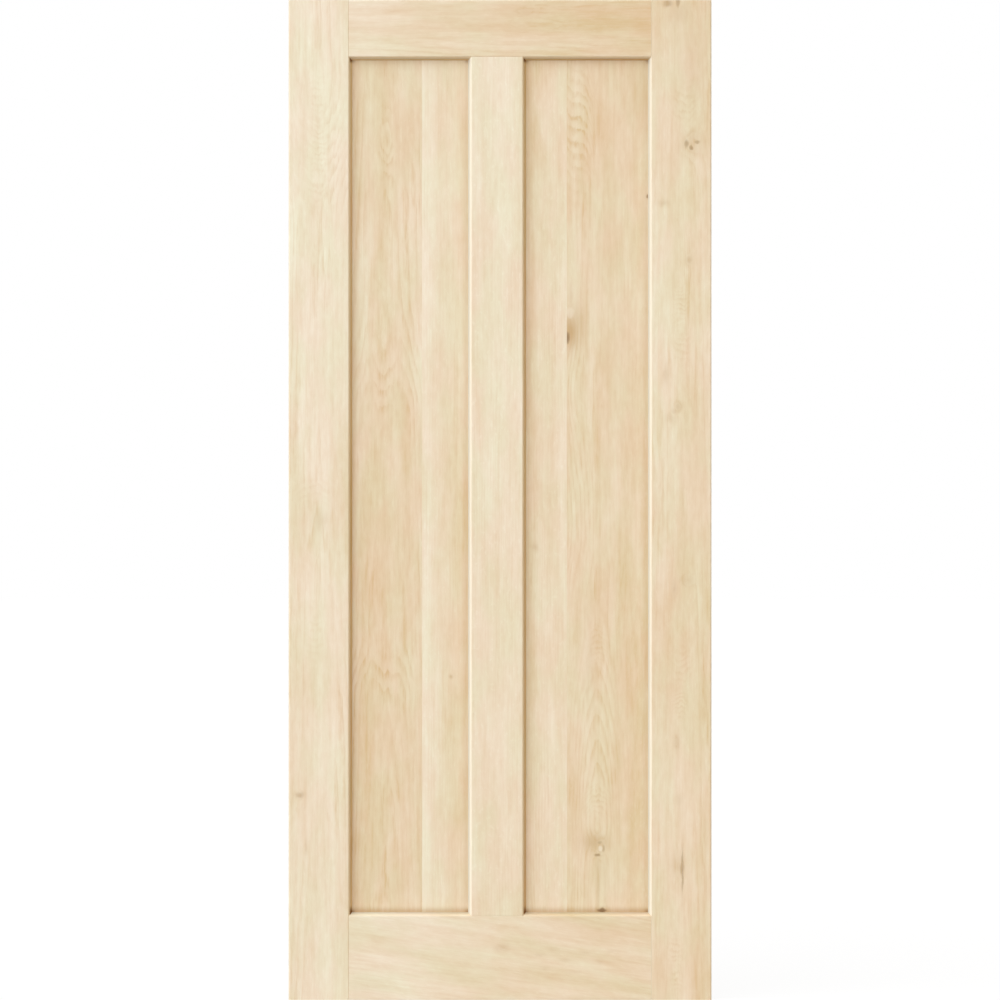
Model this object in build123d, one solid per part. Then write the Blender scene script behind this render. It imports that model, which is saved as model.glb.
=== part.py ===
from build123d import *
import os

# A panelled door leaf in solid oak: two full-height stiles, a top and a bottom rail and a
# middle mullion, framed with mortise and tenon joints round two tall flat panels.
#
# Frame: +X runs across the leaf from the hinge edge to the lock edge, +Z runs up, and the
# front face looks towards -Y. The origin is on the hinge edge, at the bottom end and half-way
# through the thickness.

# Overall size of the leaf
door_width = 838.0
door_height = 1981.0
door_thickness = 35.0

# Widths of the framing members, measured on the face up to the start of the moulded bevel
stile_width = 119.0
top_rail_width = 112.0
bottom_rail_width = 166.5
mullion_width = 101.5
mullion_offset = -6.0          # the mullion stands this far off the middle of the leaf

# Bevel and groove, run along every inner edge of the framing
bevel_width = 6.5              # how far the bevel leans out over the panel, seen from the front
groove_width = 12.4
groove_depth = 12.0            # from the lip of the bevel to the floor of the groove

# Flat panels, which float in the grooves and stand on the groove of the bottom rail
panel_thickness = 12.0
panel_side_gap = 2.0           # room for the panel to swell, at each side
panel_top_gap = 3.0

# Mortise and tenon joints between the rails and the stiles
tenon_length = 62.0            # beyond the floor of the stile's groove
mortise_end_gap = 2.0          # glue space past the end of the tenon
top_tenon_setback = 38.0       # from the top of the leaf down to the tenon
bottom_tenon_setback = 45.0    # from the bottom of the leaf up to the tenon

# Finish of the joints and edges
joint_line = 0.25              # hairline left where a shoulder meets a moulded edge
edge_easing = 1.5              # sanded off the long outer corners of the stiles

half_thickness = door_thickness / 2
half_groove = groove_width / 2
groove_floor = bevel_width - groove_depth      # the groove's floor, from the edge of the face


def moulded_edge(face):
    """The inner edge of a member in section, from its front face round the groove to its back."""
    return [
        (face, -half_thickness),
        (face + bevel_width, -half_groove),
        (face + groove_floor, -half_groove),
        (face + groove_floor, half_groove),
        (face + bevel_width, half_groove),
        (face, half_thickness),
    ]


def stile_section():
    """Section of a stile: eased along its outer corners, moulded and grooved on the inside."""
    eased_edge = [
        (edge_easing, half_thickness),
        (0, half_thickness - edge_easing),
        (0, -half_thickness + edge_easing),
        (edge_easing, -half_thickness),
    ]
    return Polyline(*moulded_edge(stile_width), *eased_edge, close=True)


def rail_section(face_width):
    """Section of a rail: trimmed square on the outside, moulded and grooved on the inside."""
    square_edge = [(0, half_thickness), (0, -half_thickness)]
    return Polyline(*moulded_edge(face_width), *square_edge, close=True)


def mullion_section():
    """Section of the mullion: moulded and grooved on both sides."""
    right_edge = moulded_edge(mullion_width / 2)
    left_edge = [(-x, -y) for x, y in right_edge]
    return Polyline(*right_edge, *left_edge, close=True)


def run(section, length):
    """A straight length of timber with its section in X and Y, run up from the ground."""
    return extrude(make_face(section), amount=length, dir=(0, 0, 1))


def block(low, high):
    """A square block between two corners."""
    size = [b - a for a, b in zip(low, high)]
    return Pos(*low) * Box(*size, align=(Align.MIN, Align.MIN, Align.MIN))


def other_side(solid):
    """The same piece for the lock side of the leaf, mirrored about its middle."""
    return mirror(solid, about=Plane.YZ.offset(door_width / 2))


# Plain lengths of moulded timber, before any joint is cut. A rail's section is laid on its side,
# so that its outer edge lies on the end of the leaf and its moulded edge faces the panels.
stile_groove_floor = stile_width + groove_floor
rail_reach = door_width - 2 * stile_groove_floor
stile_timber = run(stile_section(), door_height)


def rail_timber(face_width):
    """A length of rail between the floors of the stiles' grooves, on the bottom of the leaf."""
    on_its_side = Plane(origin=(stile_groove_floor, 0, 0), x_dir=(0, 0, 1), z_dir=(1, 0, 0))
    return on_its_side * run(rail_section(face_width), rail_reach)


bottom_rail_timber = rail_timber(bottom_rail_width)
top_rail_timber = Pos(0, 0, door_height) * mirror(rail_timber(top_rail_width), about=Plane.XY)

# Mortises and tenons, by height. Each tenon starts at the floor of its rail's own groove.
bottom_tenon_span = (bottom_tenon_setback, bottom_rail_width + groove_floor)
top_tenon_span = (door_height - top_rail_width - groove_floor, door_height - top_tenon_setback)
tenon_end = stile_groove_floor - tenon_length


def tenon(span):
    """The long tenon on the hinge-side end of a rail, between two heights."""
    low, high = span
    root = stile_groove_floor + joint_line
    return block((tenon_end, -half_groove, low), (root, half_groove, high))


def mortise(span):
    """The blind slot in the hinge-side stile that takes a tenon between two heights."""
    low, high = span
    bottom = tenon_end - mortise_end_gap
    return block((bottom, -half_groove, low), (stile_groove_floor, half_groove, high))


# Stiles: full height, with a blind mortise for each rail.
left_stile = stile_timber - mortise(bottom_tenon_span) - mortise(top_tenon_span)
right_stile = other_side(left_stile)


def framed_rail(timber, tenon_span):
    """A rail with its ends scribed over the stiles' bevels, stubs in their grooves, and tenons."""
    scribe = Pos(joint_line, 0, 0) * stile_timber
    shouldered = timber - scribe - other_side(scribe)
    hinge_side_tenon = tenon(tenon_span)
    return shouldered + hinge_side_tenon + other_side(hinge_side_tenon)


# Rails: between the stiles, one at the foot of the leaf and one at its head.
bottom_rail = framed_rail(bottom_rail_timber, bottom_tenon_span)
top_rail = framed_rail(top_rail_timber, top_tenon_span)

# Mullion: between the rails, scribed over their bevels, with stubs that fill their grooves.
mullion_middle = door_width / 2 + mullion_offset
panel_groove_foot = bottom_rail_width + groove_floor
panel_groove_head = door_height - top_rail_width - groove_floor
mullion_timber = Pos(mullion_middle, 0, panel_groove_foot) * run(
    mullion_section(), panel_groove_head - panel_groove_foot
)
mullion = (
    mullion_timber
    - Pos(0, 0, joint_line) * bottom_rail_timber
    - Pos(0, 0, -joint_line) * top_rail_timber
)


def panel(left_groove_floor, right_groove_floor):
    """A flat panel between the floors of the grooves on either side of it."""
    left = left_groove_floor + panel_side_gap
    right = right_groove_floor - panel_side_gap
    head = panel_groove_head - panel_top_gap
    half = panel_thickness / 2
    return block((left, -half, panel_groove_foot), (right, half, head))


# Panels: one each side of the mullion.
mullion_groove_floor = mullion_width / 2 + groove_floor
left_panel = panel(stile_groove_floor, mullion_middle - mullion_groove_floor)
right_panel = panel(mullion_middle + mullion_groove_floor, door_width - stile_groove_floor)

pieces = {
    "left_stile": left_stile,
    "right_stile": right_stile,
    "top_rail": top_rail,
    "bottom_rail": bottom_rail,
    "mullion": mullion,
    "left_panel": left_panel,
    "right_panel": right_panel,
}

os.makedirs("parts", exist_ok=True)
for name, solid in pieces.items():
    export_step(solid, f"parts/{name}.step")
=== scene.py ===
import bpy
import math
from collections import namedtuple
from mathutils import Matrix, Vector


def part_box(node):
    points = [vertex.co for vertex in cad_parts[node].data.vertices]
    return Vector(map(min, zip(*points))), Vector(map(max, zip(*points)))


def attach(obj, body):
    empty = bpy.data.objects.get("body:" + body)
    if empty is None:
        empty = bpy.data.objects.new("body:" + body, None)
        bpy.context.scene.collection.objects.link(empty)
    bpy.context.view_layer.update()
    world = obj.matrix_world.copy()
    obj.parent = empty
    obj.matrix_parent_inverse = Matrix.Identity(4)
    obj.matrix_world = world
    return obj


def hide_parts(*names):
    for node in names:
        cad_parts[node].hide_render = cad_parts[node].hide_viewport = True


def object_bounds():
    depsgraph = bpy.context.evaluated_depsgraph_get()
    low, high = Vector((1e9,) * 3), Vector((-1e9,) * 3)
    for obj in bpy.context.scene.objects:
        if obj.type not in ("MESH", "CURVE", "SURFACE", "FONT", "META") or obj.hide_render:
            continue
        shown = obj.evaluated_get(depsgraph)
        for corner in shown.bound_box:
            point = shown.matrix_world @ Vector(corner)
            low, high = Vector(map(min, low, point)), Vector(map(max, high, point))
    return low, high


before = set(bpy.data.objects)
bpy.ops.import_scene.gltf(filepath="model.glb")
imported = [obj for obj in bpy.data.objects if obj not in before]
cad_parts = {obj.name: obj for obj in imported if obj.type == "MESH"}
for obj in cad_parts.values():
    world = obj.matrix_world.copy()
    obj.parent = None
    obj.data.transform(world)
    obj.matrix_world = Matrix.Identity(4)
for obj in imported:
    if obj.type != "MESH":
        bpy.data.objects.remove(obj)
cad_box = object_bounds()


# The two stiles are the full-height uprights of the leaf, planed from plain-sawn oak and left
# bare. Their inner edges are bevelled and grooved, and the rails are tenoned into them. The long
# corners are taken off with fine paper, and a drying check stands open in the one on the right.

class Grain:
    """A value that varies through the timber: a node socket that Python maths can work with."""

    def __init__(self, tree, socket):
        self.tree = tree
        self.socket = socket

    def node(self, kind, settings, sockets, output=0):
        """Adds a node of that kind: its settings first, then its sockets' values or links."""
        made = self.tree.nodes.new(kind)
        for name, value in settings.items():
            setattr(made, name, value)
        for name, value in sockets.items():
            if isinstance(value, Grain):
                self.tree.links.new(value.socket, made.inputs[name])
            else:
                made.inputs[name].default_value = value
        return Grain(self.tree, made.outputs[output]) if made.outputs else None

    def math(self, operation, first, second=0.0):
        return self.node("ShaderNodeMath", {"operation": operation}, {0: first, 1: second})

    def __add__(self, other):
        return self.math("ADD", self, other)

    __radd__ = __add__

    def __sub__(self, other):
        return self.math("SUBTRACT", self, other)

    def __rsub__(self, other):
        return self.math("SUBTRACT", other, self)

    def __mul__(self, other):
        return self.math("MULTIPLY", self, other)

    __rmul__ = __mul__

    def __truediv__(self, other):
        return self.math("DIVIDE", self, other)

    def __pow__(self, power):
        return self.math("POWER", self, power)

    def __abs__(self):
        return self.math("ABSOLUTE", self)

    def larger(self, other):
        return self.math("MAXIMUM", self, other)

    def fraction(self):
        """What a value has past its last whole number."""
        return self.math("FRACT", self)

    def fading(self):
        """1 where this is 0, falling away as it grows."""
        return self.math("EXPONENT", -1.0 * self)

    def hump(self, place, length):
        """1 at a place and falling away on both sides of it, like a bell."""
        far = (self - place) / length
        return (far * far).fading()

    def rise(self, low, high):
        """0 below low and 1 above high, eased between them; with low above high it falls."""
        settings = {"interpolation_type": "SMOOTHSTEP"}
        sockets = {"Value": self, "From Min": low, "From Max": high}
        return self.node("ShaderNodeMapRange", settings, sockets)

    def above(self, floor):
        """A mask from 0 to 1, lifted so that it runs from a floor up to 1."""
        return floor + (1.0 - floor) * self

    def parts(self):
        """The three values along X, Y and Z of a place or a direction."""
        return [self.node("ShaderNodeSeparateXYZ", {}, {0: self}, output=axis) for axis in "XYZ"]

    def between(self, colour, other_colour):
        """The first colour where this is 0, the second where it is 1."""
        settings = {"data_type": "RGBA", "clamp_factor": True}
        return self.node("ShaderNodeMix", settings, {0: self, 6: colour, 7: other_colour}, output=2)

    def darken(self, colour, by):
        """A colour multiplied by another where this is 1, and as it was where this is 0."""
        settings = {"data_type": "RGBA", "blend_type": "MULTIPLY", "clamp_factor": True}
        return self.node("ShaderNodeMix", settings, {0: self, 6: colour, 7: by}, output=2)


# Streaks of noise drawn out along the fibres: how much they change a value, how many there are to
# the metre across and along, and how fine their detail is
Streaks = namedtuple("Streaks", "size across along detail", defaults=(2.0,))
ragged_sideways = Streaks(0.0014, 150.0, 60.0)
ragged_upwards = Streaks(0.0024, 120.0, 90.0)

# Noise is centred and spread to about 1 either way. A seed shifts it across a board, and
# seed_along times as far along. The marks of the front end within front_blend of the middle
noise_middle = 0.5
noise_spread = 3.0
seed_along = 1.7
front_blend = 0.004


class Board:
    """Where each point of a board lies: on the leaf, and across and along its own fibres."""

    def __init__(self, place, box, along, slope, seed):
        low, high = box
        middle = (low + high) / 2
        half = (high - low) / 2
        self.x, self.y, self.z = place.parts()
        across_axis, along_axis = (0, 2) if along == "Z" else (2, 0)
        self.across, self.length = (self.x, self.z) if along == "Z" else (self.z, self.x)
        self.from_middle = self.length - middle[along_axis]
        # Shares of the board, from -1 to 1, and the place across that sloping fibres come from
        self.side = (self.across - middle[across_axis]) / half[across_axis]
        self.end = self.from_middle / half[along_axis]
        self.drawn = self.across - self.from_middle * slope
        own_log = {0: self.drawn + seed, 1: self.y, 2: self.length + seed_along * seed}
        self.fibre = place.node("ShaderNodeCombineXYZ", {}, own_log)
        self.ragged_x = self.x + self.noise(ragged_sideways)
        self.ragged_z = self.z + self.noise(ragged_upwards)
        self.front = self.y.rise(front_blend, -front_blend)

    def noise(self, streaks):
        """Noise drawn out along the fibres, up to about its size either way."""
        stretch = (streaks.across, streaks.across, streaks.along)
        scaled = {"operation": "MULTIPLY"}
        spot = self.fibre.node("ShaderNodeVectorMath", scaled, {0: self.fibre, 1: stretch})
        sockets = {"Vector": spot, "Scale": 1.0, "Detail": streaks.detail}
        return (spot.node("ShaderNodeTexNoise", {}, sockets) - noise_middle) * (noise_spread * streaks.size)


# The log: how far its heart strays sideways and deep, and how far its rings waver and ruffle
heart_wander = Streaks(0.005, 7.0, 1.3)
heart_dip = Streaks(0.005, 6.0, 1.1)
ring_waver = Streaks(0.0019, 40.0, 8.0, 3.0)
ring_ruffle = Streaks(0.0006, 110.0, 40.0)


def log_places(board, heart, taper, bends, steps):
    """How far a point lies from the heart of its log: aside, deep and in all."""
    aside = board.drawn - heart[0] + board.noise(heart_wander)
    deep = heart[1] + board.from_middle * taper - board.y + board.noise(heart_dip)
    for bend_place, bend_length, bend_across in bends:
        aside = aside - bend_across * board.length.hump(bend_place, bend_length)
    for step_foot, step_head, step_deep in steps:
        deep = deep + step_deep * board.length.rise(step_foot, step_head)
    radius = (aside * aside + deep * deep) ** 0.5
    return aside, deep, radius + board.noise(ring_waver) + board.noise(ring_ruffle)


# A place where the rings are pushed aside or the wood is stained, in metres on the leaf: from the
# hinge edge, up from the foot, and its reach sideways and upwards. push says how far the rings
# move, stain how brown the wood is, and core how dark its middle is, or how pale below 0.
Knot = namedtuple("Knot", "x z wide tall push stain core", defaults=(0.0, 0.0, 0.0))

# Where such a middle ends and where it is full, in squared reaches
dark_middle = (0.9, 0.0)
pale_middle = (0.9, 0.1)


def knot_marks(board, radius, knots):
    """Pushes the rings aside, and says where knots stir them and stain, darken or bare the wood."""
    stirred = stain = core = bare = 0.0 * board.x
    for knot in knots:
        far_x = (board.ragged_x - knot.x) / knot.wide
        far_z = (board.ragged_z - knot.z) / knot.tall
        far = far_x * far_x + far_z * far_z
        near = far.fading()
        if knot.push:
            radius = radius + knot.push * near
            stirred = stirred.larger(near)
        if knot.stain:
            stain = stain.larger(knot.stain * near)
        if knot.core > 0:
            core = core.larger(knot.core * far.rise(*dark_middle))
        if knot.core < 0:
            bare = bare.larger(-knot.core * far.rise(*pale_middle))
    return radius, stirred, stain, core, bare


# A patch where the rings dip through the face in stacked arcs, one gap apart: its place and reach
# as for a knot, how fast the arcs bow upwards at their ends, or downwards below 0, how fast they
# twist, up towards the hinge edge and down away from it, and how strongly they show.
Ripple = namedtuple("Ripple", "x z wide tall bow twist gap show", defaults=(0.0, 0.0, 0.011, 0.22))

# Arcs are uneven and show in patches. Each is counted from 0 to 1, and builds up and stops
arc_waver = Streaks(0.008, 80.0, 35.0)
arc_drift = Streaks(0.006, 20.0, 9.0)
arc_patches = Streaks(1.0, 90.0, 55.0)
arc_patch_edge = (-0.3, 0.3)
arc_floor = 0.5
arc_start = (0.25, 0.75)
arc_end = (1.0, 0.8)


def ripple_arcs(board, ripples):
    """How much the stacked arcs darken the wood, and where they hide the straight rings."""
    arcs = rippled = 0.0 * board.x
    uneven_z = board.ragged_z + board.noise(arc_waver) + board.noise(arc_drift)
    patchy = board.noise(arc_patches).rise(*arc_patch_edge).above(arc_floor)
    for patch in ripples:
        off = board.ragged_x - patch.x
        arc = (uneven_z - patch.bow * off * off + patch.twist * off * off * off) / patch.gap
        arc = arc.fraction()
        reach = off.hump(0.0, patch.wide) * board.z.hump(patch.z, patch.tall)
        line = arc.rise(*arc_start) * arc.rise(*arc_end)
        arcs = arcs.larger(patch.show * reach * line * patchy)
        rippled = rippled.larger(reach)
    return arcs, rippled


# A year's growth, counted from 0 to 1: the pale wood of spring, full of pores, fades out, the
# denser wood builds up, and it stops at a sharp edge
ring_width = 0.005
year_waver = Streaks(0.5, 60.0, 1.0, 1.0)
early_wood = (0.42, 0.02)
late_wood = (0.25, 0.85)
year_edge = (1.0, 0.85)


def growth(board, radius):
    """How much of a point is pale early wood, and how much is dense late wood."""
    year = (radius / ring_width + board.noise(year_waver)).fraction()
    return year.rise(*early_wood), year.rise(*late_wood) * year.rise(*year_edge)


# The rings show in some places more than in others, and their lines are broken. The floors are
# what is left of them where they are faintest
ring_patches = Streaks(1.0, 22.0, 2.5)
ring_patch_edge = (-0.2, 0.8)
ring_floor = 0.2
line_breaks = Streaks(1.0, 380.0, 24.0, 1.0)
line_break_edge = (-0.5, 0.5)
line_floor = 0.35
stirred_show = 0.85
faded_share = 0.75


def ring_lines(board, stirred, rippled, fade):
    """How far the rings show at a point, and how whole their lines are."""
    shown = board.noise(ring_patches).rise(*ring_patch_edge).above(ring_floor)
    shown = shown.larger(stirred_show * stirred) * (1.0 - rippled)
    if fade:
        shown = shown * (1.0 - faded_share * board.across.rise(*fade))
    return shown, board.noise(line_breaks).rise(*line_break_edge).above(line_floor)


# Pores are long fine tubes, crowded in the early wood. Rays are sheets that run out from the heart,
# so many to the radian round it, and to the metre out from it and along
pore_tubes = Streaks(1.0, 1300.0, 26.0, 1.0)
pore_edge = (0.35, 0.75)
pore_floor = 0.18
rays_round = 90.0
rays_out = 60.0
rays_along = 90.0
ray_edge = (0.56, 0.72)


def pores_and_rays(board, early, aside, deep, radius):
    """Where the face cuts through pores, and where it cuts through rays."""
    pores = board.noise(pore_tubes).rise(*pore_edge) * early.above(pore_floor)
    angle = aside.math("ARCTAN2", aside, deep)
    round_out_along = {0: angle * rays_round, 1: radius * rays_out, 2: board.length * rays_along}
    sheet = angle.node("ShaderNodeCombineXYZ", {}, round_out_along)
    rays = sheet.node("ShaderNodeTexNoise", {}, {"Vector": sheet, "Scale": 1.0, "Detail": 2.0})
    return pores, rays.rise(*ray_edge)


def tone(red, green, blue):
    """A colour as it looks on a screen, 0 to 255 each, as the linear values that a shader takes."""
    def linear(value):
        share = value / 255
        return share / 12.92 if share < 0.04045 else ((share + 0.055) / 1.055) ** 2.4
    return (linear(red), linear(green), linear(blue), 1.0)


pale_oak = tone(250, 240, 219)
tan_oak = tone(222, 191, 146)
pink_flush = tone(254, 251, 249)
straw_flush = tone(250, 254, 247)
stained_oak = tone(198, 162, 110)
knot_brown = tone(118, 84, 44)
sawn_end_oak = tone(222, 200, 168)
flush_patches = Streaks(1.0, 20.0, 7.0)
flush_edge = (-0.6, 0.6)
sawn_turn = (0.6, 0.9)      # how far a sawn face looks towards an end of its board
sawn_end_share = 0.8

# What changes the tone, on a scale from pale at 0 to tan at 1: streaks from broad to fine, and the
# figure of the rings, which leaves the tone as it is at figure_level
tone_streaks = [
    Streaks(0.16, 14.0, 0.5),
    Streaks(0.13, 55.0, 1.5),
    Streaks(0.17, 30.0, 7.0),
    Streaks(0.10, 110.0, 40.0),
    Streaks(0.09, 220.0, 14.0),
]
figure_strength = 0.37
figure_level = 0.25
ray_strength = 0.10
pore_strength = 0.22

# The planed surface: its roughness and gloss, and how deep its relief is
planed_roughness = 0.58
pore_roughness = 0.10
late_wood_polish = 0.05
sawn_end_roughness = 0.12
oak_gloss = 0.3
late_wood_height = 0.4
pore_depth = 1.0
knot_depth = 1.5
plane_marks = Streaks(0.15, 500.0, 9.0, 1.0)
relief = {"Strength": 0.35, "Distance": 0.0002}


def oak(name, box, along, painted_shading, heart, shade, lean=(0.0, 0.0), tones=(), slope=0.0, taper=0.0,
        bends=(), steps=(), figure=1.0, fade=None, knots=(), ripples=(), seed=0.0):
    """Solid oak for a board that fills a box, with its fibres along X or Z.

    heart is where the middle of its log lies, across and deep on the leaf, and the rings round it
    give the figure of every face. slope and taper drift it across and deep for each metre along.
    Each of bends moves it across near a place along the board: the place, its reach and how far.
    Each of steps moves it deeper from one place along to another: the two places and how far.
    shade is the tone from pale to tan, which lean changes across and along the board, and each of
    tones near a place along it: the place, its reach and how much. figure is how strong the rings
    are, and they fade out between the two places across in fade. weathering paints shade and
    highlights onto the faces by where they lie and which way they turn, and seed picks the log."""
    material = bpy.data.materials.new(name)
    material.use_nodes = True
    tree = material.node_tree
    tree.nodes.clear()
    place = Grain(tree, tree.nodes.new("ShaderNodeTexCoord").outputs["Object"])
    board = Board(place, box, along, slope, seed)
    aside, deep, radius = log_places(board, heart, taper, bends, steps)
    radius, stirred, stain, core, bare = knot_marks(board, radius, knots)
    arcs, rippled = ripple_arcs(board, ripples)
    early, late = growth(board, radius)
    shown, broken = ring_lines(board, stirred, rippled, fade)
    pores, rays = pores_and_rays(board, early, aside, deep, radius)

    warmth = shade + lean[0] * board.side + lean[1] * board.end
    for tone_place, tone_length, change in tones:
        warmth = warmth + change * board.length.hump(tone_place, tone_length)
    for streaks in tone_streaks:
        warmth = warmth + board.noise(streaks)
    warmth = warmth + figure_strength * figure * shown * (late * broken - figure_level)
    warmth = warmth + arcs * broken.above(arc_floor)
    warmth = warmth - ray_strength * rays + pore_strength * pores

    ground = warmth.between(pale_oak, tan_oak)
    flush = board.noise(flush_patches).rise(*flush_edge)
    ground = flush.darken(ground, pink_flush)
    ground = (1 - flush).darken(ground, straw_flush)
    ground = (stain * board.front).between(ground, stained_oak)
    ground = (core * board.front).between(ground, knot_brown)
    ground = (bare * board.front).between(ground, pale_oak)

    # Sawn ends soak up the light and look darker than the faces
    facing = place.node("ShaderNodeNewGeometry", {}, {}, output="Normal").parts()
    # Painted shade and highlights, by where a face lies and which way it turns to the lamps
    ground = painted_shading(ground, board, facing)
    end_grain = abs(facing["XYZ".index(along)]).rise(*sawn_turn)
    ground = (end_grain * sawn_end_share).darken(ground, sawn_end_oak)

    roughness = planed_roughness + pore_roughness * pores - late_wood_polish * late
    roughness = roughness + sawn_end_roughness * end_grain
    height = late_wood_height * late - pore_depth * pores - knot_depth * core
    height = height + board.noise(plane_marks)
    bump = height.node("ShaderNodeBump", {}, {"Height": height, **relief})
    surface = ground.node("ShaderNodeBsdfPrincipled", {}, {
        "Base Color": ground, "Roughness": roughness, "Normal": bump, "Specular IOR Level": oak_gloss,
    })
    surface.node("ShaderNodeOutputMaterial", {}, {"Surface": surface})
    return material


# Painted shade for bevels turned from the lamps, a paler painted light for their heads, a painted highlight
# for bevels turned to the lamps, painted shade for the feet and the shaded corners, and a slight darkening
# of the ledge
painted_shade_oak = tone(252, 226, 186)
painted_light_oak = tone(255, 230, 191)
painted_highlight_oak = tone(238, 230, 208)
foot_shade_grey = tone(219, 219, 218)
ledge_darkening = tone(247, 247, 246)
corner_shade_brown = tone(150, 116, 76)

# How squarely a bevel faces the front or the back, from its plane part to its rounded head, and how
# far a face turns from slightly to clearly
bevel_plane = (0.3, 0.4)
bevel_head = (0.82, 0.74)
slight_turn = 0.2
clear_turn = 0.6

# Where each painted shade and light of the bevels starts and where it is full, from the middle of
# the thickness, and how strong the painted highlight is
side_shade_depths = (0.0155, 0.0085)
side_light_depths = (0.0120, 0.0162)
beneath_shade_depths = (0.0130, 0.0080)
beneath_light_depths = (0.0100, 0.0145)
foot_shade_depths = (0.0170, 0.0065)
corner_shade_depths = (0.0165, 0.0110)
highlight_share = 0.9

# Where the panels show, from the lip of the bottom rail's bevel to the lip of the top rail's, and
# how far the painted shade in the corners of the bevels reaches from there
foot_of_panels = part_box("bottom_rail")[1].z
head_of_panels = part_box("top_rail")[0].z
foot_corner = 0.016
head_corner = 0.008


def painted_bevel_shading(ground, board, facing):
    """Painted light and shade on the moulded edges of the framing.

    The upright bevels that face the lamps get a painted highlight. Those that face away from them
    or down get a browner painted shade, with a paler painted light at their heads. Painted shade
    darkens the feet of the other bevels and the corners in the shade, and the ledge over the bottom
    rail is made a little darker."""
    frontal = abs(facing[1])
    on_bevel = frontal.rise(*bevel_plane) * frontal.rise(*bevel_head)
    away = facing[0] * (2.0 * board.front - 1.0)
    shaded = on_bevel * away.rise(slight_turn, clear_turn)
    lit = on_bevel * away.rise(-slight_turn, -clear_turn)
    beneath = on_bevel * facing[2].rise(-slight_turn, -clear_turn)
    ledge = on_bevel * facing[2].rise(slight_turn, clear_turn)
    depth = abs(board.y)
    # Painted shade on the bevels turned away from the lamps or down, a paler painted light at their heads,
    # and a painted highlight on those turned towards the lamps
    ground = (shaded * depth.rise(*side_shade_depths)).darken(ground, painted_shade_oak)
    ground = (beneath * depth.rise(*beneath_shade_depths)).darken(ground, painted_shade_oak)
    ground = (shaded * depth.rise(*side_light_depths)).between(ground, painted_light_oak)
    ground = (beneath * depth.rise(*beneath_light_depths)).between(ground, painted_light_oak)
    ground = (highlight_share * lit).between(ground, painted_highlight_oak)
    # Painted shade at the feet of the other bevels and in the shaded corners, and the ledge a little darker
    ground = ((on_bevel - shaded - beneath) * depth.rise(*foot_shade_depths)).darken(ground, foot_shade_grey)
    ground = ledge.darken(ground, ledge_darkening)
    corner = board.z.rise(head_of_panels - head_corner, head_of_panels)
    corner = corner + board.z.rise(foot_of_panels + foot_corner, foot_of_panels)
    return (shaded * corner * depth.rise(*corner_shade_depths)).darken(ground, corner_shade_brown)


def select_only(piece):
    bpy.ops.object.select_all(action="DESELECT")
    piece.select_set(True)
    bpy.context.view_layer.objects.active = piece


merge_distance = 1e-5
flat_angle = math.radians(1)


def copy_of(node, name):
    """A new piece with a CAD node's mesh, merged into one clean skin."""
    piece = bpy.data.objects.new(name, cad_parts[node].data.copy())
    bpy.context.scene.collection.objects.link(piece)
    select_only(piece)
    bpy.ops.object.mode_set(mode="EDIT")
    bpy.ops.mesh.select_mode(type="EDGE")
    bpy.ops.mesh.select_all(action="SELECT")
    bpy.ops.mesh.remove_doubles(threshold=merge_distance)
    bpy.ops.mesh.dissolve_limited(angle_limit=flat_angle)
    bpy.ops.mesh.select_all(action="DESELECT")
    bpy.ops.object.mode_set(mode="OBJECT")
    return piece


sanded_corner = 0.0010
groove_lip = 0.008          # edges nearer to the middle of the thickness belong to the groove
straight_share = 0.999      # an edge along the member has at least this share of its length along it


def sanded(node, along):
    """A framing member with the long corners of its faces sanded off, and its shoulders left tight."""
    piece = copy_of(node, node + "_timber")
    axis = "XYZ".index(along)
    points = piece.data.vertices
    for edge in piece.data.edges:
        first, second = [points[index].co for index in edge.vertices]
        line = second - first
        runs_along = abs(line[axis]) > straight_share * line.length
        edge.select = runs_along and abs(first.y) > groove_lip
    bpy.ops.object.mode_set(mode="EDIT")
    bpy.ops.mesh.bevel(offset=sanded_corner, segments=2)
    bpy.ops.object.mode_set(mode="OBJECT")
    return piece


check_depth = 0.0012
open_share = 0.3            # how much of a check's stained reach stands open


def open_check(piece, check, face):
    """Cuts a drying check into a face of a piece, as a long narrow hollow with a round bottom."""
    bpy.ops.object.select_all(action="DESELECT")
    bpy.ops.mesh.primitive_ico_sphere_add(subdivisions=3, radius=1, location=(check.x, face, check.z))
    cutter = bpy.context.object
    cutter.scale = (open_share * check.wide, check_depth, open_share * check.tall)
    bpy.ops.object.transform_apply(location=True, rotation=True, scale=True)
    cut = piece.modifiers.new("hollow", "BOOLEAN")
    cut.object = cutter
    cut.operation = "DIFFERENCE"
    select_only(piece)
    bpy.ops.object.modifier_apply(modifier=cut.name)
    bpy.data.objects.remove(cutter)


def fit(piece, material, node):
    """Gives a piece its wood and puts it in the place of its CAD node."""
    piece.data.materials.clear()
    piece.data.materials.append(material)
    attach(piece, "root")
    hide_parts(node)


def framing_member(node, along, slot, check=None, **wood):
    """A member of the framing, sanded, with a drying check if it has one. wood is what oak takes."""
    piece = sanded(node, along)
    if check:
        open_check(piece, check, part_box(node)[0].y)
    timber = oak(node + "_oak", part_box(node), along, painted_bevel_shading, **wood)
    fit(piece, timber, node)


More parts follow.
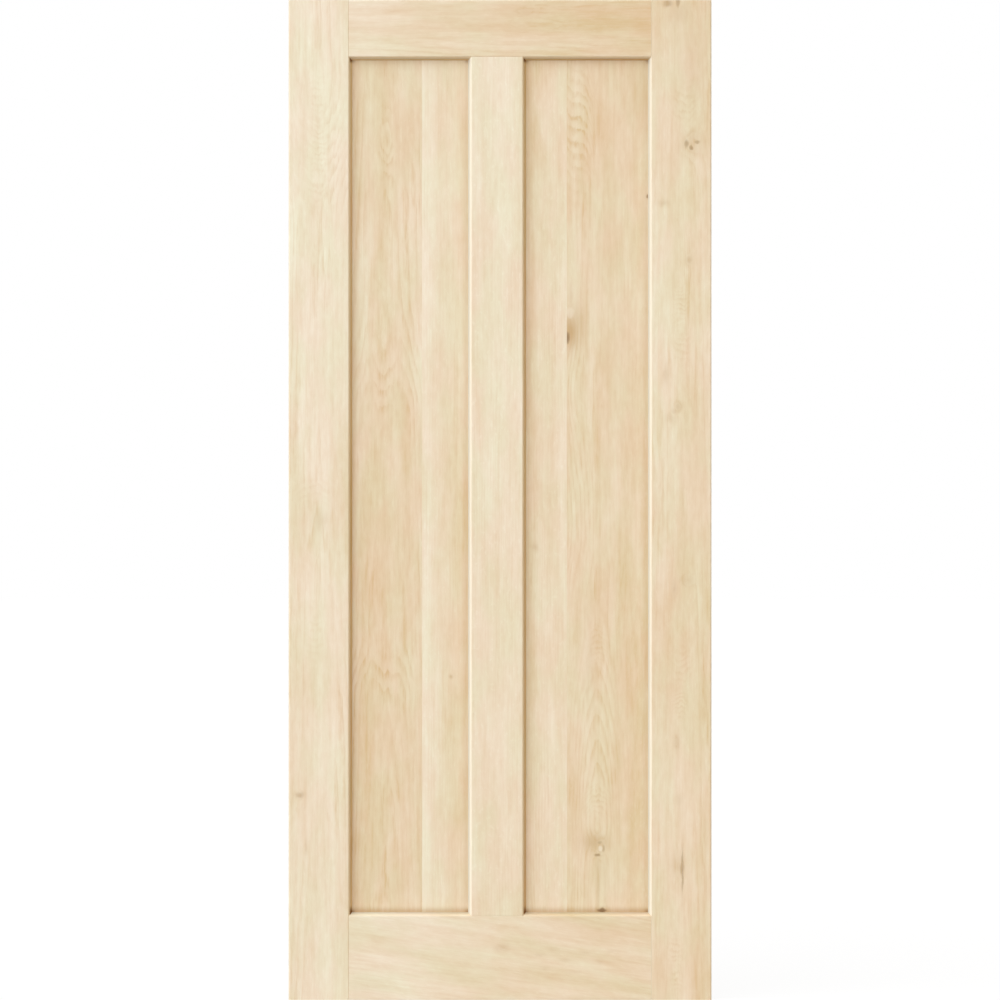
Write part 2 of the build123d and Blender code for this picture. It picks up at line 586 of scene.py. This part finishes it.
left_stile_knots = [
    Knot(0.0600, 0.965, 0.034, 0.050, push=0.002, stain=0.06),
    Knot(0.0630, 0.950, 0.015, 0.024, stain=0.28),
    Knot(0.0228, 0.406, 0.010, 0.008, push=0.006, stain=0.42, core=0.10),
    Knot(0.0347, 0.303, 0.003, 0.018, stain=0.25),
]
left_stile_ripples = [
    Ripple(0.0580, 1.790, 0.014, 0.050, bow=9.0, gap=0.014),
    Ripple(0.0610, 1.690, 0.018, 0.060, bow=16.0, gap=0.012),
    Ripple(0.0580, 1.610, 0.016, 0.030, bow=24.0, gap=0.015),
    Ripple(0.0525, 1.008, 0.040, 0.024, bow=-15.0, gap=0.016, show=0.15),
    Ripple(0.0520, 0.720, 0.016, 0.050, bow=14.0, gap=0.015, show=0.12),
]
framing_member(
    "left_stile", "Z", "stile_oak", heart=(0.060, 0.100), shade=0.38, lean=(-0.01, -0.06),
    tones=[(1.70, 0.40, -0.05), (0.95, 0.09, 0.11)], taper=0.012, steps=[(1.54, 1.82, -0.040)],
    knots=left_stile_knots, ripples=left_stile_ripples, seed=1.3,
)

drying_check = Knot(0.7805, 0.258, 0.0026, 0.054, stain=0.42, core=0.32)
right_stile_knots = [
    Knot(0.7518, 1.974, 0.012, 0.008, push=0.004, stain=0.50, core=0.16),
    Knot(0.7716, 1.978, 0.005, 0.016, push=0.003, stain=0.55, core=0.24),
    Knot(0.7760, 1.955, 0.024, 0.028, stain=0.28),
    Knot(0.8000, 1.850, 0.034, 0.120, stain=0.16),
    Knot(0.7890, 1.697, 0.006, 0.011, push=0.003, stain=0.55, core=0.30),
    Knot(0.7980, 1.688, 0.005, 0.007, push=0.003, stain=0.55, core=0.36),
    Knot(0.8095, 1.700, 0.007, 0.005, push=0.003, stain=0.48, core=0.25),
    Knot(0.8060, 1.704, 0.005, 0.004, stain=0.40),
    Knot(0.7980, 1.700, 0.024, 0.030, push=0.008, stain=0.26),
    Knot(0.7419, 1.579, 0.011, 0.007, stain=0.30),
    Knot(0.7934, 1.466, 0.006, 0.008, push=0.003, stain=0.45),
    Knot(0.7478, 1.238, 0.008, 0.020, stain=0.28),
    Knot(0.7720, 1.176, 0.008, 0.010, push=0.004, stain=0.38),
    Knot(0.7640, 1.167, 0.006, 0.008, stain=0.34),
    Knot(0.7577, 1.153, 0.010, 0.010, stain=0.24),
    Knot(0.7640, 0.815, 0.006, 0.016, push=0.004, stain=0.32),
    Knot(0.7894, 0.832, 0.016, 0.012, push=0.004, stain=0.22),
    Knot(0.7696, 0.511, 0.006, 0.014, push=0.004, stain=0.36),
    Knot(0.7736, 0.396, 0.010, 0.012, stain=0.20),
    drying_check,
    Knot(0.7800, 0.260, 0.0060, 0.018, stain=0.50, core=0.20),
    Knot(0.7720, 0.268, 0.018, 0.028, push=0.006, stain=0.25),
]
right_stile_ripples = [
    Ripple(0.7850, 1.775, 0.022, 0.035, bow=20.0, gap=0.014),
    Ripple(0.7765, 1.370, 0.012, 0.035, bow=18.0, gap=0.010),
    Ripple(0.7815, 1.295, 0.015, 0.030, bow=34.0, gap=0.013),
    Ripple(0.7795, 0.660, 0.016, 0.035, bow=26.0, gap=0.013),
    Ripple(0.7760, 0.590, 0.012, 0.030, bow=-20.0, gap=0.010),
    Ripple(0.7656, 0.095, 0.014, 0.030, bow=28.0, gap=0.010),
    Ripple(0.7690, 0.045, 0.012, 0.025, bow=-24.0, gap=0.012),
]
framing_member(
    "right_stile", "Z", "stile_oak", check=drying_check, heart=(0.780, 0.090), shade=0.54,
    lean=(0.06, -0.02), taper=0.014,
    tones=[(1.97, 0.13, 0.16), (1.31, 0.18, -0.13), (0.68, 0.15, 0.08), (0.04, 0.06, 0.08)],
    knots=right_stile_knots, ripples=right_stile_ripples, seed=4.1,
)


# The top and bottom rails run between the stiles, with the grain across the leaf. Their ends
# are scribed over the stiles' bevels and glued, which leaves a hairline at each shoulder.
top_rail_knots = [
    Knot(0.470, 1.957, 0.030, 0.010, push=0.010, stain=0.16),
    Knot(0.500, 1.932, 0.080, 0.014, push=0.014),
]
framing_member(
    "top_rail", "X", "rail_oak", heart=(1.930, 0.090), shade=0.64, lean=(0.0, 0.18),
    tones=[(0.15, 0.06, -0.16)], taper=-0.03, figure=0.6, knots=top_rail_knots, seed=7.7,
)

bottom_rail_knots = [
    Knot(0.160, 0.026, 0.046, 0.026, stain=0.14),
    Knot(0.423, 0.105, 0.016, 0.008, push=0.005, stain=0.30),
    Knot(0.498, 0.089, 0.012, 0.004, stain=0.18),
    Knot(0.524, 0.099, 0.010, 0.005, stain=0.16),
    Knot(0.550, 0.079, 0.011, 0.004, stain=0.20),
    Knot(0.587, 0.093, 0.012, 0.004, stain=0.18),
    Knot(0.617, 0.075, 0.010, 0.005, stain=0.16),
    Knot(0.641, 0.097, 0.012, 0.004, stain=0.14),
    Knot(0.508, 0.063, 0.010, 0.004, stain=0.15),
    Knot(0.568, 0.055, 0.014, 0.004, stain=0.14),
]
framing_member(
    "bottom_rail", "X", "rail_oak", heart=(0.080, 0.110), shade=0.48, lean=(0.0, 0.15),
    tones=[(0.25, 0.09, -0.06)], slope=-0.15, taper=0.03, figure=0.45, knots=bottom_rail_knots, seed=9.2,
)


# The mullion is the middle upright between the rails, scribed over the bevels of both and
# held by stub tenons in their grooves. It is sawn on the quarter, so its grain runs straight.
framing_member(
    "mullion", "Z", "mullion_oak", heart=(0.600, 0.060), shade=0.39, lean=(0.05, -0.07),
    taper=0.01, figure=0.4, seed=12.6,
)


# Each panel is glued up edge to edge from two flat-planed oak boards and left loose in the
# grooves of the framing. The joint on the right cuts through the edge of a dark knot.
board_corner = 0.00015


def sawn_board(name, node, joint, keep_right):
    """One board of a panel: the panel cut at its joint, with the board's corners just broken."""
    piece = copy_of(node, name)
    bpy.ops.object.mode_set(mode="EDIT")
    bpy.ops.mesh.select_all(action="SELECT")
    bpy.ops.mesh.bisect(
        plane_co=(joint, 0, 0), plane_no=(1, 0, 0), use_fill=True,
        clear_inner=keep_right, clear_outer=not keep_right,
    )
    bpy.ops.mesh.select_all(action="SELECT")
    bpy.ops.mesh.bevel(offset=board_corner, segments=1)
    bpy.ops.object.mode_set(mode="OBJECT")
    return piece


def board_box(node, joint, keep_right):
    """The box that a board of a panel fills."""
    low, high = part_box(node)
    if keep_right:
        low.x = joint
    else:
        high.x = joint
    return low, high


# Painted shade in the grooves at the right and the foot of a panel, and a warm painted shadow at its left
# and head
groove_shade_brown = tone(190, 158, 112)
warm_shadow_brown = tone(212, 164, 92)

# Painted shade on a panel along the framing: how strong it is on each side, how far it reaches out
# over the panel, and how steeply it builds up at the right and at the foot
right_shade_strength = 0.26
right_build = 1.5
left_shade_strength = 0.19
side_reach = 0.022
foot_shade_strength = 0.55
foot_build = 2.0
foot_reach = 0.020
head_shade_strength = 0.14
head_reach = 0.025
corner_share = 0.5
corner_reach = 0.009


def panel_edge_shade(left, right):
    """Painted shade along the framing on a panel that shows between two places across the leaf."""
    head = head_of_panels
    foot = foot_of_panels

    def painted_shading(ground, board, facing):
        x = board.x
        z = board.z
        # Painted shade, strongest at the right and the foot, a warm painted shadow at the left and the
        # head, and painted shade in the corners
        painted_shade = right_shade_strength * x.rise(right - side_reach, right) ** right_build
        painted_shade = painted_shade + foot_shade_strength * z.rise(foot + foot_reach, foot) ** foot_build
        ground = painted_shade.darken(ground, groove_shade_brown)
        painted_shade = left_shade_strength * x.rise(left + side_reach, left) + head_shade_strength * z.rise(head - head_reach, head)
        ground = painted_shade.darken(ground, warm_shadow_brown)
        beside = x.rise(left + corner_reach, left) + x.rise(right - corner_reach, right)
        ends = z.rise(head - corner_reach, head) + z.rise(foot + corner_reach, foot)
        return (corner_share * beside * ends).darken(ground, corner_shade_brown)

    return painted_shading


def panel_board(panel, width, joint, faces, keep_right, **wood):
    """One board of a panel, sawn at the joint. faces is its painted shade, and wood is what oak takes."""
    piece = sawn_board(f"{panel}_{width}_board", panel, joint, keep_right)
    box = board_box(panel, joint, keep_right)
    timber = oak(f"{panel}_{width}_oak", box, "Z", faces, **wood)
    fit(piece, timber, panel)


left_joint = 0.2645
left_panel_shade = panel_edge_shade(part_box("left_stile")[1].x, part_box("mullion")[0].x)
left_wide_knots = [
    Knot(0.128, 1.300, 0.014, 0.200, stain=0.14),
    Knot(0.128, 0.360, 0.014, 0.300, stain=0.10),
    Knot(0.193, 1.705, 0.016, 0.060, push=0.016),
    Knot(0.188, 1.250, 0.022, 0.100, push=0.012),
    Knot(0.190, 0.640, 0.022, 0.080, push=0.005),
    Knot(0.230, 1.480, 0.022, 0.160, push=0.005),
]
panel_board(
    "left_panel", "wide", left_joint, left_panel_shade, keep_right=False, heart=(0.189, 0.090),
    shade=0.60, lean=(-0.05, 0.0), tones=[(1.34, 0.20, -0.14), (0.30, 0.45, 0.05)], taper=0.02,
    steps=[(1.16, 1.36, 0.014), (0.60, 0.71, 0.010)], figure=1.15, knots=left_wide_knots, seed=21.4,
)

left_narrow_knots = [
    Knot(0.322, 0.640, 0.004, 0.004, stain=0.5),
]
panel_board(
    "left_panel", "narrow", left_joint, left_panel_shade, keep_right=True, heart=(0.400, 0.060),
    shade=0.47, lean=(0.16, 0.0), tones=[(1.49, 0.18, -0.08), (1.03, 0.11, 0.11)], taper=0.01,
    figure=0.6, knots=left_narrow_knots, seed=24.8,
)

right_joint = 0.5517
right_panel_shade = panel_edge_shade(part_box("mullion")[1].x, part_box("right_stile")[0].x)
right_narrow_knots = [
    Knot(0.488, 0.897, 0.007, 0.009, stain=0.35),
]
panel_board(
    "right_panel", "narrow", right_joint, right_panel_shade, keep_right=False, heart=(0.380, 0.050),
    shade=0.54, lean=(-0.07, 0.0), tones=[(1.86, 0.05, 0.10), (1.40, 0.15, -0.05)], taper=0.01,
    figure=0.6, knots=right_narrow_knots, seed=27.3,
)

right_wide_knots = [
    Knot(0.612, 0.470, 0.055, 0.250, push=0.004),
    Knot(0.588, 1.560, 0.018, 0.130, push=0.003),
    Knot(0.698, 1.810, 0.024, 0.100, stain=0.22),
    Knot(0.595, 0.665, 0.014, 0.090, stain=0.16),
    Knot(0.620, 0.262, 0.016, 0.040, stain=0.16),
    Knot(0.578, 1.000, 0.028, 0.130, push=0.007),
    Knot(0.566, 1.200, 0.022, 0.070, push=-0.008),
    Knot(0.5520, 1.313, 0.0075, 0.017, push=0.004, stain=0.70, core=0.62),
    Knot(0.5585, 1.324, 0.019, 0.036, push=0.004, stain=0.82),
    Knot(0.5680, 1.335, 0.022, 0.044, stain=0.44),
    Knot(0.5580, 1.362, 0.012, 0.015, core=-0.30),
    Knot(0.5590, 1.395, 0.006, 0.022, stain=0.24),
    Knot(0.607, 0.312, 0.026, 0.018, push=0.006, stain=0.58),
    Knot(0.6170, 0.311, 0.006, 0.004, stain=0.50, core=0.20),
    Knot(0.617, 0.296, 0.012, 0.018, push=0.010, stain=0.28),
    Knot(0.6245, 0.300, 0.004, 0.009, stain=0.45, core=0.20),
    Knot(0.6120, 0.287, 0.007, 0.004, stain=0.60, core=0.40),
    Knot(0.6185, 0.299, 0.0055, 0.007, core=-0.45),
    Knot(0.6135, 0.235, 0.0035, 0.060, stain=0.34),
    Knot(0.621, 0.177, 0.012, 0.006, stain=0.60, core=0.70),
    Knot(0.7110, 1.593, 0.003, 0.005, stain=0.60, core=0.60),
]
right_wide_ripples = [
    Ripple(0.5725, 1.735, 0.026, 0.105, twist=1800.0, gap=0.024, show=0.44),
    Ripple(0.612, 0.705, 0.013, 0.035, bow=-30.0),
    Ripple(0.612, 0.395, 0.020, 0.030, bow=-26.0),
]
panel_board(
    "right_panel", "wide", right_joint, right_panel_shade, keep_right=True, heart=(0.612, 0.019),
    shade=0.65, lean=(-0.01, 0.0), tones=[(1.36, 0.14, -0.08)], bends=[(0.92, 0.10, 0.010)],
    steps=[(0.36, 0.78, 0.034)], figure=0.9, fade=(0.630, 0.670), knots=right_wide_knots,
    ripples=right_wide_ripples, seed=31.9,
)


# The leaf stands on a plain white floor under soft light from the upper left, in front of the
# camera, which looks square on at its face from far enough to keep every edge upright.
leaf_low, leaf_high = cad_box
leaf_middle = (leaf_low + leaf_high) / 2
leaf_height = leaf_high.z - leaf_low.z
floor_size = 80.0
floor_gap = 0.0005

bpy.ops.object.select_all(action="DESELECT")
bpy.ops.mesh.primitive_plane_add(size=floor_size, location=(leaf_middle.x, 0, leaf_low.z - floor_gap))
floor = bpy.context.object
floor.name = "floor"


def seen_directly(tree):
    """1 for what the camera sees, straight or in a reflection, and 0 for light on the leaf."""
    path = tree.nodes.new("ShaderNodeLightPath").outputs
    seen = Grain(tree, path["Is Camera Ray"])
    seen = seen.larger(Grain(tree, path["Is Glossy Ray"]))
    return seen.larger(Grain(tree, path["Is Transmission Ray"]))


white = (1, 1, 1, 1)
floor_grey = (0.32, 0.32, 0.32, 1)
glow_share = 0.92           # the rest of the floor's white is paint, which takes the leaf's shadow

floor_white = bpy.data.materials.new("floor_white")
floor_white.use_nodes = True
floor_white.node_tree.nodes.clear()
seen = seen_directly(floor_white.node_tree)
grey_paint = seen.node("ShaderNodeBsdfDiffuse", {}, {"Color": floor_grey})
white_paint = seen.node("ShaderNodeBsdfDiffuse", {}, {"Color": white})
glow = seen.node("ShaderNodeEmission", {}, {"Color": white, "Strength": 1.0})
shown_floor = seen.node("ShaderNodeMixShader", {}, {0: glow_share, 1: white_paint, 2: glow})
whole_floor = seen.node("ShaderNodeMixShader", {}, {0: seen, 1: grey_paint, 2: shown_floor})
seen.node("ShaderNodeOutputMaterial", {}, {"Surface": whole_floor})
floor.data.materials.append(floor_white)

ambient = 0.42
warm_bounce = (1.10, 0.98, 0.76, 1)

world = bpy.data.worlds.new("white_studio")
bpy.context.scene.world = world
world.use_nodes = True
world.node_tree.nodes.clear()
seen = seen_directly(world.node_tree)
backdrop = seen.node("ShaderNodeBackground", {}, {
    "Color": seen.between(warm_bounce, white), "Strength": seen.above(ambient),
})
seen.node("ShaderNodeOutputWorld", {}, {"Surface": backdrop})

daylight = (0.96, 1.0, 1.12)


def softbox(name, towards, strength, spread):
    """A large soft lamp far away, which shines from one direction over the whole leaf."""
    lamp = bpy.data.lights.new(name, "SUN")
    lamp.energy = strength
    lamp.color = daylight
    lamp.angle = math.radians(spread)
    holder = bpy.data.objects.new(name, lamp)
    bpy.context.scene.collection.objects.link(holder)
    holder.rotation_mode = "QUATERNION"
    holder.rotation_quaternion = Vector(towards).to_track_quat("Z", "Y")


softbox("key_softbox", towards=(-0.89, -1.0, 0.9), strength=3.04, spread=70)
softbox("back_softbox", towards=(0.7, 1.0, 0.3), strength=1.9, spread=60)

camera_distance = 10.0
camera = bpy.data.cameras.new("camera")
camera.sensor_width = 36
camera.lens = camera.sensor_width * (camera_distance + leaf_low.y) / leaf_height
camera_holder = bpy.data.objects.new("camera", camera)
bpy.context.scene.collection.objects.link(camera_holder)
camera_holder.location = (leaf_middle.x, -camera_distance, leaf_middle.z)
camera_holder.rotation_euler = (math.radians(90), 0, 0)
bpy.context.scene.camera = camera_holder
bpy.context.scene.view_settings.view_transform = "Standard"
